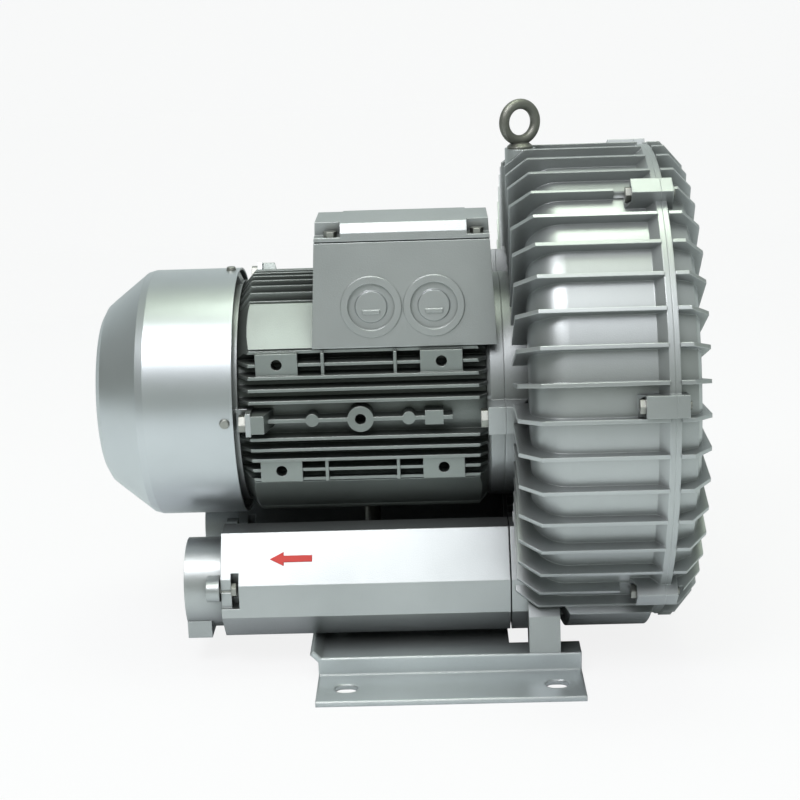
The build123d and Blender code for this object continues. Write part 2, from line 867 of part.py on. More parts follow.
# Fan end shield: holds the fan bearing and carries the cowl on four ears
shield_left = frame_left - shield_plate
with BuildPart() as fan_end_shield:
    turn(
        (shield_left, shaft_tail + 2),
        (shield_left, frame_outer + 6),
        (frame_left, frame_outer + 6),
        (frame_left, frame_bore - fit_gap),
        (frame_left + spigot_length, frame_bore - fit_gap),
        (frame_left + spigot_length, frame_bore - 6),
        (frame_left, frame_bore - 7),
        (frame_left, bearing_outer + hub_wall + 2),
        (fan_bearing_x + bearing_width, bearing_outer + hub_wall),
        (fan_bearing_x + bearing_width, bearing_outer + fit_gap),
        (fan_bearing_x - spring_thick, bearing_outer + fit_gap),
        (fan_bearing_x - spring_thick, shaft_tail + 2),
    )
    ear_left = cowl_screw_x - 5.5
    with Locations(*around(cowl_screw_count, 0)):
        add(plate(((frame_outer, ear_left), (cowl_radius - cowl_sheet - 0.5, ear_left),
                   (cowl_radius - cowl_sheet - 0.5, cowl_screw_x + 5.5), (frame_outer + 5, frame_left),
                   (frame_outer, frame_left)), 14))
    with Locations(*around(shield_bolt_count, 0)):
        add(plate(((frame_outer + 0.5, shield_left), (frame_outer + 8, shield_left),
                   (frame_outer + 8, arm_right - 4), (shield_bolt_circle + 7, arm_right - 4),
                   (shield_bolt_circle + 7, arm_right), (frame_outer + 0.5, arm_right)), arm_width))
    drill(shield_bolt_count, 0, shield_bolt_circle, shield_bolt_radius + fit_gap, arm_right - 5, arm_right)
    for k in range(cowl_screw_count):
        with BuildSketch(shaft_plane.rotated((90 * k, 0, 0)).offset(frame_outer + 2)):
            with Locations((cowl_screw_x, 0)):
                Circle(cowl_screw_radius + fit_gap)
        extrude(amount=20, mode=Mode.SUBTRACT)
finish(fan_end_shield, "fan_end_shield")

with BuildPart() as shield_screws:
    with Locations(*around(shield_bolt_count, 0, shield_bolt_circle)):
        add(bolt(arm_right - 4, arm_right + 8, shield_bolt_radius, 6.0, 5.3))
finish(shield_screws, "shield_screws")

# Fan cowl: pressed cap with a ring grille in its end
with BuildPart() as fan_cowl:
    turn(
        (cowl_rim, cowl_radius),
        (cowl_shoulder + 4, cowl_radius),
        (cowl_shoulder - 2, cowl_radius - 1.6),
        (cowl_end + 11, cowl_end_radius + 6),
        (cowl_end + 5, cowl_end_radius + 1),
        (cowl_end + 1, cowl_end_radius - 6),
        (cowl_end, cowl_end_radius - 12),
        (cowl_end, 0),
        (cowl_end + cowl_sheet, 0),
        (cowl_end + cowl_sheet, cowl_end_radius - 12),
        (cowl_end + cowl_sheet + 0.8, cowl_end_radius - 7),
        (cowl_end + cowl_sheet + 4.5, cowl_end_radius - 0.4),
        (cowl_end + cowl_sheet + 10.2, cowl_end_radius + 4.5),
        (cowl_shoulder - 1.4, cowl_radius - 3.2),
        (cowl_shoulder + 4, cowl_radius - cowl_sheet),
        (cowl_rim, cowl_radius - cowl_sheet),
    )
    with BuildSketch(across(cowl_end - 1)):
        for k in reversed(range(grille_rings)):
            inner = grille_slot + grille_pitch * (k + 0.6)
            Circle(inner + grille_slot)
            Circle(inner, mode=Mode.SUBTRACT)
        with PolarLocations(0, grille_sectors // 2, angular_range=180):
            Rectangle(2 * cowl_end_radius, grille_bar, mode=Mode.SUBTRACT)
    extrude(amount=cowl_sheet + 2, mode=Mode.SUBTRACT)
    for k in range(cowl_screw_count):
        with BuildSketch(shaft_plane.rotated((90 * k, 0, 0)).offset(cowl_radius - 4)):
            with Locations((cowl_screw_x, 0)):
                Circle(cowl_screw_radius + fit_gap)
        extrude(amount=8, mode=Mode.SUBTRACT)
finish(fan_cowl, "fan_cowl")

with BuildPart() as cowl_screws:
    for k in range(cowl_screw_count):
        outward = shaft_plane.rotated((90 * k, 0, 0))
        with BuildSketch(outward.offset(cowl_radius)):
            with Locations((cowl_screw_x, 0)):
                Circle(4)
        extrude(amount=2.6, taper=15)
        with BuildSketch(outward.offset(frame_outer + 3)):
            with Locations((cowl_screw_x, 0)):
                Circle(cowl_screw_radius)
        extrude(amount=cowl_radius - frame_outer - 3)
finish(cowl_screws, "cowl_screws")

# Lifting eye bolt: ring, collar and threaded shank
with BuildPart() as eye_bolt:
    turned_eye = Plane(origin=(eye_x, 0, eye_seat)).rotated((0, 0, eye_turn))
    with BuildSketch(Plane(turned_eye.origin, x_dir=turned_eye.x_dir, z_dir=-turned_eye.y_dir)):
        with BuildLine():
            Polyline((0, -12), (0, 5), (7, 4), (10, 1.6), (10, 0), (eye_thread, 0), (eye_thread, -12), close=True)
        make_face()
    revolve(axis=Axis((eye_x, 0, 0), (0, 0, 1)))
    ring_middle = eye_seat + eye_ring_radius + eye_section + 2
    with Locations(Location((eye_x, 0, ring_middle), (0, 0, eye_turn)) * Location((0, 0, 0), (90, 0, 0))):
        Torus(eye_ring_radius, eye_section)
finish(eye_bolt, "eye_bolt")

# Terminal box: cast box on the sloped land, open at the top
seat_sum = gasket_land * sqrt(2)
box_low = seat_sum + box_front_low
box_rise = box_split - box_low


def box_section(top):
    """Section of the terminal box up to a height above the shaft, as (y, z) points."""
    return (
        (box_front_low, box_low),
        (box_floor - seat_sum, box_floor),
        (box_rear_low, box_floor),
        (box_rear_high, top),
        (box_front_high, top),
    )


def trim_sides():
    """Cut both ends of the box or the lid to their draft."""
    for edge, side in ((box_left, 1), (box_right, -1)):
        slope = Plane(
            origin=(edge, 0, axis_height + box_low),
            x_dir=(0, 1, 0),
            z_dir=(side * box_rise, 0, -box_side_slope),
        )
        split(bisect_by=slope, keep=Keep.TOP)


front_run = box_front_high - box_front_low
front_wall = Plane(
    origin=(0, box_front_low + front_run * (knockout_height - box_low) / box_rise, axis_height + knockout_height),
    x_dir=(1, 0, 0),
    z_dir=(0, -box_rise, front_run),
)
lid_screw_x = (box_left + 16.5, box_right - 13.5)
lid_screw_y = (box_front_high + 6.5, box_rear_high - 7)
lid_corners = [(x, y) for x in lid_screw_x for y in lid_screw_y]
box_top = box_split - lid_gasket_thick


def corner_blocks(inner_x, inner_y, bottom, height):
    """Blocks over the four lid corners that end inner_x and inner_y inside each screw."""
    with BuildPart() as made:
        with BuildSketch(Plane.XY.offset(axis_height + bottom)):
            for x, toward_x in zip(lid_screw_x, (1, -1)):
                for y, toward_y in zip(lid_screw_y, (1, -1)):
                    with Locations((x + toward_x * (inner_x - 20), y + toward_y * (inner_y - 20))):
                        Rectangle(40, 40)
        extrude(amount=height)
    return made.part


with BuildPart() as box_cavity:
    with BuildSketch(across(box_left + box_wall + box_side_slope)):
        with BuildLine():
            Polyline(*box_section(box_top + box_wall + 1), close=True)
        make_face()
        offset(amount=-box_wall)
    extrude(amount=box_right - box_left - 2 * box_wall - 2 * box_side_slope)
    add(corner_blocks(7, 6, box_floor + 1, box_top - box_floor + 8), mode=Mode.SUBTRACT)

with BuildPart() as terminal_box:
    with BuildSketch(across(box_left)):
        with BuildLine():
            Polyline(*box_section(box_top), close=True)
        make_face()
    extrude(amount=box_right - box_left)
    trim_sides()
    add(box_cavity.part, mode=Mode.SUBTRACT)
    with BuildSketch(Plane.XY.offset(axis_height + box_top - 14)):
        with Locations(*lid_corners):
            Circle(lid_screw + fit_gap)
    extrude(amount=20, mode=Mode.SUBTRACT)
    # Cable knock-outs: raised ring, recess, dished plug and a bar across it
    with BuildSketch(front_wall.offset(-0.5)):
        with Locations(*[(x, 0) for x in knockout_x]):
            Circle(knockout_ring)
    extrude(amount=1.5)
    with BuildSketch(front_wall.offset(-1.6)):
        with Locations(*[(x, 0) for x in knockout_x]):
            Circle(knockout_recess)
    extrude(amount=6, mode=Mode.SUBTRACT)
    with BuildSketch(front_wall.offset(-2)):
        with Locations(*[(x, 0) for x in knockout_x]):
            Circle(knockout_recess - 5)
    extrude(amount=1.6, taper=35)
    with BuildSketch(front_wall.offset(-2)):
        with Locations(*[(x, -4) for x in knockout_x]):
            Rectangle(13, 3)
    extrude(amount=2.8)
    # Holes in the sloped floor
    with BuildSketch(box_seat):
        Circle(cable_way)
        with Locations((0, box_screw_rise)):
            with GridLocations(box_screw_spacing, box_screw_rows, 2, 2):
                Circle(box_screw + fit_gap)
    extrude(amount=(gasket_thick + box_wall + 1), mode=Mode.SUBTRACT)
finish(terminal_box, "terminal_box")

with BuildPart() as box_gasket:
    with BuildSketch(box_seat):
        Rectangle(box_screw_spacing + 16, land_width - 2)
        Circle(cable_way, mode=Mode.SUBTRACT)
        with Locations((0, box_screw_rise)):
            with GridLocations(box_screw_spacing, box_screw_rows, 2, 2):
                Circle(box_screw + fit_gap, mode=Mode.SUBTRACT)
    extrude(amount=gasket_thick)
finish(box_gasket, "box_gasket")

with BuildPart() as box_screws:
    with Locations(*[box_seat.location * Location((x, y, 0))
                     for x in (-box_screw_spacing / 2, box_screw_spacing / 2)
                     for y in (box_screw_rise - box_screw_rows / 2, box_screw_rise + box_screw_rows / 2)]):
        add(bolt(gasket_thick + box_wall, -9, box_screw, 4.0, -3.5))
finish(box_screws, "box_screws")

# Lid with its gasket and four screws in the corner notches
with BuildPart() as terminal_lid:
    with BuildSketch(across(box_left)):
        with BuildLine():
            Polyline(
                (box_front_high, box_split),
                (box_front_high + 1, box_split + 6),
                (box_front_high + 5, box_split + lid_height),
                (box_rear_high - 9, box_split + lid_height),
                (box_rear_high - 1, box_split + 6),
                (box_rear_high, box_split),
                close=True,
            )
        make_face()
    extrude(amount=box_right - box_left)
    trim_sides()
    with BuildSketch(Plane.XY.offset(axis_height + box_split)):
        with Locations((middle_of_box, (box_front_high + box_rear_high) / 2)):
            Rectangle(box_right - box_left - 56, box_rear_high - box_front_high - 10)
    extrude(amount=lid_height - 3, mode=Mode.SUBTRACT)
    add(corner_blocks(7.5, 6, box_split + lid_ledge, lid_height), mode=Mode.SUBTRACT)
    with BuildSketch(Plane.XY.offset(axis_height + box_split)):
        with Locations(*lid_corners):
            Circle(lid_screw + fit_gap)
    extrude(amount=lid_ledge, mode=Mode.SUBTRACT)
finish(terminal_lid, "terminal_lid")

with BuildPart() as lid_gasket:
    with BuildSketch(Plane.XY.offset(axis_height + box_top)):
        with Locations((middle_of_box, (box_front_high + box_rear_high) / 2)):
            Rectangle(box_right - box_left - 2 * box_side_slope - 6, box_rear_high - box_front_high - 2)
            Rectangle(box_right - box_left - 46, box_rear_high - box_front_high - 14, mode=Mode.SUBTRACT)
        with Locations(*lid_corners):
            Circle(lid_screw + fit_gap, mode=Mode.SUBTRACT)
    extrude(amount=lid_gasket_thick)
finish(lid_gasket, "lid_gasket")

with BuildPart() as lid_screws:
    for x, y in lid_corners:
        with Locations((x, y, axis_height)):
            add(bolt(box_split + lid_ledge, box_top - 12, lid_screw, 4.4, -4.0))
finish(lid_screws, "lid_screws")

# Terminal board with six studs, their nuts and three links
board = Plane((middle_of_box, (box_front_high + box_rear_high) / 2 + board_shift, axis_height + box_floor + box_wall))
stud_grid = GridLocations(16, 18, 3, 2).local_locations
with BuildPart() as terminal_board:
    with BuildSketch(board):
        Rectangle(58, 34)
    extrude(amount=board_thick)
    with BuildSketch(board.offset(board_thick)):
        with GridLocations(16, 1, 2, 1):
            Rectangle(2, 34)
    extrude(amount=3)
    with BuildSketch(board):
        with Locations(*stud_grid):
            Circle(stud_radius + fit_gap)
    extrude(amount=board_thick, mode=Mode.SUBTRACT)
finish(terminal_board, "terminal_board")

with BuildPart() as terminal_studs:
    with BuildSketch(board):
        with Locations(*stud_grid):
            Circle(stud_radius)
    extrude(amount=board_thick + 10)
finish(terminal_studs, "terminal_studs")

with BuildPart() as terminal_links:
    with BuildSketch(board.offset(board_thick)):
        with GridLocations(16, 1, 3, 1):
            Rectangle(8, 26)
        with Locations(*stud_grid):
            Circle(stud_radius + fit_gap, mode=Mode.SUBTRACT)
    extrude(amount=1)
finish(terminal_links, "terminal_links")

with BuildPart() as terminal_nuts:
    with BuildSketch(board.offset(board_thick + 1)):
        with Locations(*stud_grid):
            RegularPolygon(3.9, 6, major_radius=False)
            Circle(stud_radius + fit_gap, mode=Mode.SUBTRACT)
    extrude(amount=3.2)
finish(terminal_nuts, "terminal_nuts")

# Silencers: faceted tubes with a foam sleeve and an inner tube, one in front and one behind
for place, y in (("front", -silencer_y), ("rear", silencer_y)):
    with BuildPart() as silencer:
        with BuildSketch(across(silencer_left, 0)):
            with BuildLine():
                Polyline(*octagon(y), close=True)
            make_face()
        extrude(amount=silencer_right - silencer_left)
        with BuildSketch(Plane.XY.offset(base_top)):
            with Locations((foot_x, y)):
                Circle(11)
        extrude(amount=12)
        with BuildSketch(across(silencer_left, silencer_z)):
            with Locations((y, 0)):
                Circle(silencer_bore)
        extrude(amount=silencer_right - silencer_left, mode=Mode.SUBTRACT)
        # Notches for the port flange screws
        for reach, left in ((port_bolt_y + 3, silencer_left), (port_bolt_y - 6, silencer_left + ear_thick)):
            with BuildSketch(across(left, port_bolt_z)):
                with Locations((y - reach - 20, 0), (y + reach + 20, 0)):
                    Rectangle(40, notch_height)
            extrude(amount=silencer_left + notch_length - left, mode=Mode.SUBTRACT)
        with BuildSketch(across(silencer_left, port_bolt_z)):
            with Locations((y - port_bolt_y, 0), (y + port_bolt_y, 0)):
                Circle(port_bolt + fit_gap)
        extrude(amount=ear_thick, mode=Mode.SUBTRACT)
        with BuildSketch(Plane.XY.offset(base_top)):
            with Locations((foot_x, y)):
                Circle(base_bolt + fit_gap)
        extrude(amount=base_bolt_depth + 0.5, mode=Mode.SUBTRACT)
    finish(silencer, f"silencer_{place}")

    with BuildPart() as foam:
        with BuildSketch(across(silencer_left + 3, silencer_z)):
            with Locations((y, 0)):
                Circle(silencer_bore - fit_gap)
                Circle(tube_radius + fit_gap, mode=Mode.SUBTRACT)
        extrude(amount=silencer_right - silencer_left - 6)
    finish(foam, f"silencer_foam_{place}")

    with BuildPart() as tube:
        with BuildSketch(across(silencer_left, silencer_z)):
            with Locations((y, 0)):
                Circle(tube_radius)
                Circle(tube_radius - tube_wall, mode=Mode.SUBTRACT)
        extrude(amount=silencer_right - silencer_left)
    finish(tube, f"silencer_tube_{place}")

    for end, left in (("port", silencer_left - gasket_thick), ("casing", silencer_right)):
        with BuildPart() as gasket:
            with BuildSketch(across(left, silencer_z)):
                with Locations((y, 0)):
                    Circle(silencer_bore + 3)
                    Circle(tube_radius - tube_wall, mode=Mode.SUBTRACT)
            extrude(amount=gasket_thick)
        finish(gasket, f"{end}_gasket_{place}")

    flange_left = silencer_left - gasket_thick - port_plate
    with BuildPart() as port_flange:
        with BuildSketch(across(flange_left, silencer_z)):
            with Locations((y, 0)):
                Circle(port_collar)
            with Locations((y, port_bolt_z - silencer_z)):
                SlotCenterToCenter(2 * port_bolt_y, 18)
        extrude(amount=port_plate)
        with BuildSketch(across(port_end, silencer_z)):
            with Locations((y, 0)):
                Circle(port_collar)
            with Locations((y, -port_collar + 6)):
                Rectangle(56, 14)
        extrude(amount=flange_left - port_end)
        with BuildSketch(across(port_end, silencer_z)):
            with Locations((y, 0)):
                Circle(port_thread)
        extrude(amount=port_plate - port_end + flange_left, mode=Mode.SUBTRACT)
        with BuildSketch(across(flange_left, port_bolt_z)):
            with Locations((y - port_bolt_y, 0), (y + port_bolt_y, 0)):
                Circle(port_bolt + fit_gap)
        extrude(amount=port_plate, mode=Mode.SUBTRACT)
    finish(port_flange, f"port_flange_{place}")

with BuildPart() as port_screws:
    for y in (-silencer_y, silencer_y):
        for hand in (-1, 1):
            with Locations(Location((0, y + hand * port_bolt_y, port_bolt_z), (0, 90, 0))):
                add(bolt(silencer_left + ear_thick, flange_left + 2, port_bolt, 5.0, -4.0))
finish(port_screws, "port_screws")

# Support post between the motor and the base
with BuildPart() as support_post:
    with BuildSketch(Plane.XY.offset(base_top)):
        with Locations((post_x, 0)):
            Circle(post_radius)
    extrude(amount=axis_height - frame_outer - 15 - base_top)
    with BuildSketch(Plane.XY.offset(axis_height - frame_outer - 15)):
        with Locations((post_x, 0)):
            Circle(post_stud)
    extrude(amount=12)
    with BuildSketch(Plane.XY.offset(base_top)):
        with Locations((post_x, 0)):
            Circle(base_bolt + fit_gap)
    extrude(amount=base_bolt_depth + 5, mode=Mode.SUBTRACT)
finish(support_post, "support_post")

# Base plate: bent sheet with floor flanges, slots, a notch under the casing and a sloped lip
with BuildPart() as base_plate:
    with BuildSketch(across(base_left, 0)):
        with Locations((0, base_top - base_sheet / 2)):
            Rectangle(2 * base_wall_y, base_sheet)
        for side in (-1, 1):
            with Locations((side * (base_wall_y - base_sheet / 2), base_top / 2)):
                Rectangle(base_sheet, base_top)
            with Locations((side * (base_wall_y + base_flange / 2 - 1), base_sheet / 2)):
                Rectangle(base_flange + 2, base_sheet)
    extrude(amount=base_right - base_left)
    with BuildSketch(Plane.XZ):
        with BuildLine():
            Polyline(
                (base_left + 3, base_top),
                (base_left + 3 - base_lip, base_top + base_lip),
                (base_left - base_lip, base_top + base_lip - 3),
                (base_left + 1, base_top - base_sheet),
                close=True,
            )
        make_face()
    extrude(amount=base_wall_y, both=True)
    with BuildSketch(Plane.XY):
        with Locations(((notch_left + base_right + 1) / 2, 0)):
            Rectangle(base_right + 1 - notch_left, 2 * (base_wall_y - base_arm))
    extrude(amount=base_top + 1, mode=Mode.SUBTRACT)
    with BuildSketch(Plane.XY):
        with GridLocations(2 * slot_x, 2 * slot_y, 2, 2):
            SlotOverall(slot_length, slot_width)
    extrude(amount=base_sheet, mode=Mode.SUBTRACT)
    with BuildSketch(Plane.XY.offset(base_top - base_sheet)):
        with Locations(*base_holes):
            Circle(base_bolt + fit_gap)
    extrude(amount=base_sheet, mode=Mode.SUBTRACT)
finish(base_plate, "base_plate")

with BuildPart() as base_screws:
    for x, y in base_holes:
        with Locations((x, y, 0)):
            add(bolt(base_top - base_sheet, base_top + base_bolt_depth, base_bolt, 6.5, 5.3))
finish(base_screws, "base_screws")
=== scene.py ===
"""Looks of a side-channel blower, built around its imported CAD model."""
import bmesh
import bpy
from math import cos, sin
from mathutils import Matrix, Vector


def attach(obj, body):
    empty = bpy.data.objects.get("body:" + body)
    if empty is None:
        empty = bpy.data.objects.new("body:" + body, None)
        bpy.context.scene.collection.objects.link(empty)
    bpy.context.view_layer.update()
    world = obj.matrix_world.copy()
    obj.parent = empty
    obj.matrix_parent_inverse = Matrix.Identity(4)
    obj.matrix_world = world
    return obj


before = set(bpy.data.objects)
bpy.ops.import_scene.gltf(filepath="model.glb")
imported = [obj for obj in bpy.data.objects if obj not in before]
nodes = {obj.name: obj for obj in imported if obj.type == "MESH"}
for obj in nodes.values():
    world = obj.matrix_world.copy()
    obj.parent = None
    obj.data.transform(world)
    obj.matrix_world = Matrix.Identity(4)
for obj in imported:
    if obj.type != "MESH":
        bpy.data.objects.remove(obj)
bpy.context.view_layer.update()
scene = bpy.context.scene
scene.view_settings.view_transform = "Standard"

# Camera
# It stands in front of the motor, a little above it, and looks slightly down.
# Its lens and angles come from the positions of slots, pads and fins in the photograph.
camera_data = bpy.data.cameras.new("camera")
camera_data.sensor_width = 36
camera_data.lens = 74.5
camera = bpy.data.objects.new("camera", camera_data)
scene.collection.objects.link(camera)
yaw, pitch, roll = -0.023004, 0.271165, 0.033390
forward = Vector((sin(yaw) * cos(pitch), cos(yaw) * cos(pitch), -sin(pitch)))
level_right = Vector((cos(yaw), -sin(yaw), 0))
level_down = forward.cross(level_right)
right = cos(roll) * level_right + sin(roll) * level_down
down = -sin(roll) * level_right + cos(roll) * level_down
camera_place = (-0.00538, -1.29957, 0.54893)
camera_turn = Matrix((right, -down, -forward)).transposed().to_4x4()
camera.matrix_world = Matrix.Translation(camera_place) @ camera_turn
scene.camera = camera

# Studio
# Pale floor and backdrop in one sweep, three large soft lamps and a sky that is dimmer low down and on the left.
# The camera sees floor and sky nearly white, and the object's metal reflects their own paler and darker tones.
sweep_mesh = bmesh.new()
half_width = 4
floor_y = [-3.0, 1.2, 1.5, 1.8, 2.0, 2.1]
floor_z = [0.0, 0.0, 0.05, 0.25, 0.7, 3.5]
previous = None
for y, z in zip(floor_y, floor_z):
    row = [sweep_mesh.verts.new((x, y, z)) for x in (-half_width, half_width)]
    if previous:
        sweep_mesh.faces.new((previous[0], previous[1], row[1], row[0]))
    previous = row
sweep_data = bpy.data.meshes.new("studio_floor")
sweep_mesh.to_mesh(sweep_data)
sweep_mesh.free()
studio_floor = bpy.data.objects.new("studio_floor", sweep_data)
scene.collection.objects.link(studio_floor)
white_share = 0.86
floor_paint = bpy.data.materials.new("studio_white")
floor_paint.use_nodes = True
tree = floor_paint.node_tree
matte = tree.nodes["Principled BSDF"]
matte.inputs["Base Color"].default_value = (0.87, 0.89, 0.93, 1)
matte.inputs["Roughness"].default_value = 1.0
matte.inputs["Specular IOR Level"].default_value = 0.0
glow = tree.nodes.new("ShaderNodeEmission")
glow.inputs["Color"].default_value = (1, 1, 1, 1)
mix = tree.nodes.new("ShaderNodeMixShader")
path = tree.nodes.new("ShaderNodeLightPath")
share = tree.nodes.new("ShaderNodeMath")
share.operation = "MULTIPLY"
share.inputs[1].default_value = white_share
tree.links.new(path.outputs["Is Camera Ray"], share.inputs[0])
tree.links.new(share.outputs[0], mix.inputs[0])
tree.links.new(matte.outputs[0], mix.inputs[1])
tree.links.new(glow.outputs[0], mix.inputs[2])
tree.links.new(mix.outputs[0], tree.nodes["Material Output"].inputs["Surface"])
studio_floor.data.materials.append(floor_paint)

world = bpy.data.worlds.new("studio_world")
world.use_nodes = True
scene.world = world
tree = world.node_tree
sky = tree.nodes["Background"]
heading = tree.nodes.new("ShaderNodeTexCoord")
height = tree.nodes.new("ShaderNodeSeparateXYZ")
tree.links.new(heading.outputs["Generated"], height.inputs[0])
side = tree.nodes.new("ShaderNodeMapRange")
side.inputs["From Min"].default_value = -1.0
side.inputs["From Max"].default_value = 0.2
side.inputs["To Min"].default_value = 0.4
side.inputs["To Max"].default_value = 0.85
tree.links.new(height.outputs["X"], side.inputs["Value"])
tree.links.new(side.outputs[0], sky.inputs["Strength"])
daylight = tree.nodes.new("ShaderNodeValToRGB")
tree.links.new(height.outputs["Z"], daylight.inputs[0])
tree.links.new(daylight.outputs[0], sky.inputs["Color"])
daylight.color_ramp.elements[0].color = (0.30, 0.34, 0.28, 1)
daylight.color_ramp.elements[1].color = (0.58, 0.68, 0.48, 1)
for level, tone in ((0.3, (0.42, 0.46, 0.42, 1)), (0.7, (0.62, 0.67, 0.66, 1))):
    daylight.color_ramp.elements.new(level).color = tone
white_sky = tree.nodes.new("ShaderNodeBackground")
white_sky.inputs["Color"].default_value = (1, 1, 1, 1)
white_sky.inputs["Strength"].default_value = 1.0
mix = tree.nodes.new("ShaderNodeMixShader")
path = tree.nodes.new("ShaderNodeLightPath")
tree.links.new(path.outputs["Is Camera Ray"], mix.inputs[0])
tree.links.new(sky.outputs[0], mix.inputs[1])
tree.links.new(white_sky.outputs[0], mix.inputs[2])
tree.links.new(mix.outputs[0], tree.nodes["World Output"].inputs["Surface"])


def lamp(name, place, target, size, power, color):
    """Add a square soft lamp aimed at a point."""
    data = bpy.data.lights.new(name, "AREA")
    data.size = size
    data.energy = power
    data.color = color
    light = bpy.data.objects.new(name, data)
    light.location = place
    light.rotation_euler = (Vector(target) - Vector(place)).to_track_quat("-Z", "Y").to_euler()
    scene.collection.objects.link(light)


shaft_middle = (0, 0, 0.2)
silencer_level = (0, 0, 0.15)
lamp("key_lamp", (-0.7, -1.2, 2.1), shaft_middle, 0.9, 22, (0.98, 0.98, 1.0))
lamp("window_lamp", (0.1, -1.3, 1.55), silencer_level, 1.0, 3.5, (0.94, 0.94, 1.0))
lamp("top_lamp", (0.1, 0.1, 1.9), shaft_middle, 0.7, 8, (0.90, 1.0, 0.85))


# Sprayed grey paint on the castings
# Aluminium castings with a thin coat of silver-grey paint over a fine cast grain.
# The colour is made lighter along the rounded edges as a painted highlight, and darker where nearby parts hide a
# surface, as painted shade.
def group_socket(group, kind, name, in_out, value=None):
    """Add a named socket to a node group."""
    made = group.interface.new_socket(name=name, in_out=in_out, socket_type=kind)
    if value is not None:
        made.default_value = value


paint_grain_and_painted_light = bpy.data.node_groups.new("paint_grain_and_painted_light", "ShaderNodeTree")
group_socket(paint_grain_and_painted_light, "NodeSocketColor", "Paint", "INPUT", (0.4, 0.4, 0.4, 1))
group_socket(paint_grain_and_painted_light, "NodeSocketColor", "Shade", "INPUT", (0.3, 0.3, 0.3, 1))
# The Edge colour is a painted highlight along rounded edges.
group_socket(paint_grain_and_painted_light, "NodeSocketColor", "Edge", "INPUT", (0.6, 0.6, 0.6, 1))
group_socket(paint_grain_and_painted_light, "NodeSocketFloat", "Grain Scale", "INPUT", 900.0)
group_socket(paint_grain_and_painted_light, "NodeSocketFloat", "Base Roughness", "INPUT", 0.4)
group_socket(paint_grain_and_painted_light, "NodeSocketFloat", "Edge Radius", "INPUT", 0.001)
group_socket(paint_grain_and_painted_light, "NodeSocketColor", "Color", "OUTPUT")
group_socket(paint_grain_and_painted_light, "NodeSocketFloat", "Roughness", "OUTPUT")
group_socket(paint_grain_and_painted_light, "NodeSocketFloat", "Height", "OUTPUT")
group_socket(paint_grain_and_painted_light, "NodeSocketVector", "Normal", "OUTPUT")
coat = paint_grain_and_painted_light.nodes
links = paint_grain_and_painted_light.links
inside = coat.new("NodeGroupInput")
outside = coat.new("NodeGroupOutput")
place = coat.new("ShaderNodeTexCoord")
patches_per_metre = 9.0
patches = coat.new("ShaderNodeTexNoise")
patches.inputs["Scale"].default_value = patches_per_metre
patches.inputs["Detail"].default_value = 4.0
links.new(place.outputs["Object"], patches.inputs["Vector"])
grain = coat.new("ShaderNodeTexNoise")
grain.inputs["Detail"].default_value = 3.0
links.new(place.outputs["Object"], grain.inputs["Vector"])
links.new(inside.outputs["Grain Scale"], grain.inputs["Scale"])
tint = coat.new("ShaderNodeMix")
tint.data_type = "RGBA"
patch_ramp = coat.new("ShaderNodeMapRange")
patch_ramp.inputs["From Min"].default_value = 0.35
patch_ramp.inputs["From Max"].default_value = 0.68
links.new(patches.outputs["Fac"], patch_ramp.inputs["Value"])
links.new(patch_ramp.outputs[0], tint.inputs["Factor"])
links.new(inside.outputs["Paint"], tint.inputs["A"])
links.new(inside.outputs["Shade"], tint.inputs["B"])
geometry = coat.new("ShaderNodeNewGeometry")
rounding = coat.new("ShaderNodeBevel")
rounding.samples = 4
links.new(inside.outputs["Edge Radius"], rounding.inputs["Radius"])
turned = coat.new("ShaderNodeVectorMath")
turned.operation = "DOT_PRODUCT"
links.new(rounding.outputs["Normal"], turned.inputs[0])
links.new(geometry.outputs["Normal"], turned.inputs[1])
# Painted highlight: the colour turns towards the Edge colour where the rounded normal bends away from the face.
edge_highlight_mask = coat.new("ShaderNodeMapRange")
edge_highlight_mask.inputs["From Min"].default_value = 0.98
edge_highlight_mask.inputs["From Max"].default_value = 0.80
links.new(turned.outputs["Value"], edge_highlight_mask.inputs["Value"])
edge_highlight_mix = coat.new("ShaderNodeMix")
edge_highlight_mix.data_type = "RGBA"
edge_highlight_share = 0.55
edge_highlight_strength = coat.new("ShaderNodeMath")
edge_highlight_strength.operation = "MULTIPLY"
edge_highlight_strength.inputs[1].default_value = edge_highlight_share
links.new(edge_highlight_mask.outputs[0], edge_highlight_strength.inputs[0])
links.new(edge_highlight_strength.outputs[0], edge_highlight_mix.inputs["Factor"])
links.new(tint.outputs["Result"], edge_highlight_mix.inputs["A"])
links.new(inside.outputs["Edge"], edge_highlight_mix.inputs["B"])
# Painted shade: ambient occlusion darkens the colour in gaps, between fins and under parts.
painted_shade_reach = 0.08
painted_shade_tone = 0.35
shade_occlusion = coat.new("ShaderNodeAmbientOcclusion")
shade_occlusion.samples = 6
shade_occlusion.inputs["Distance"].default_value = painted_shade_reach
painted_shade_ramp = coat.new("ShaderNodeMapRange")
painted_shade_ramp.inputs["From Min"].default_value = 0.15
painted_shade_ramp.inputs["From Max"].default_value = 0.75
painted_shade_ramp.inputs["To Min"].default_value = painted_shade_tone
links.new(shade_occlusion.outputs["AO"], painted_shade_ramp.inputs["Value"])
painted_shade = coat.new("ShaderNodeMix")
painted_shade.data_type = "RGBA"
painted_shade.blend_type = "MULTIPLY"
painted_shade.inputs["Factor"].default_value = 1.0
links.new(edge_highlight_mix.outputs["Result"], painted_shade.inputs["A"])
links.new(painted_shade_ramp.outputs[0], painted_shade.inputs["B"])
links.new(painted_shade.outputs["Result"], outside.inputs["Color"])
links.new(rounding.outputs["Normal"], outside.inputs["Normal"])
grain_roughness = 0.18
gloss = coat.new("ShaderNodeMath")
gloss.operation = "MULTIPLY_ADD"
gloss.inputs[1].default_value = grain_roughness
links.new(grain.outputs["Fac"], gloss.inputs[0])
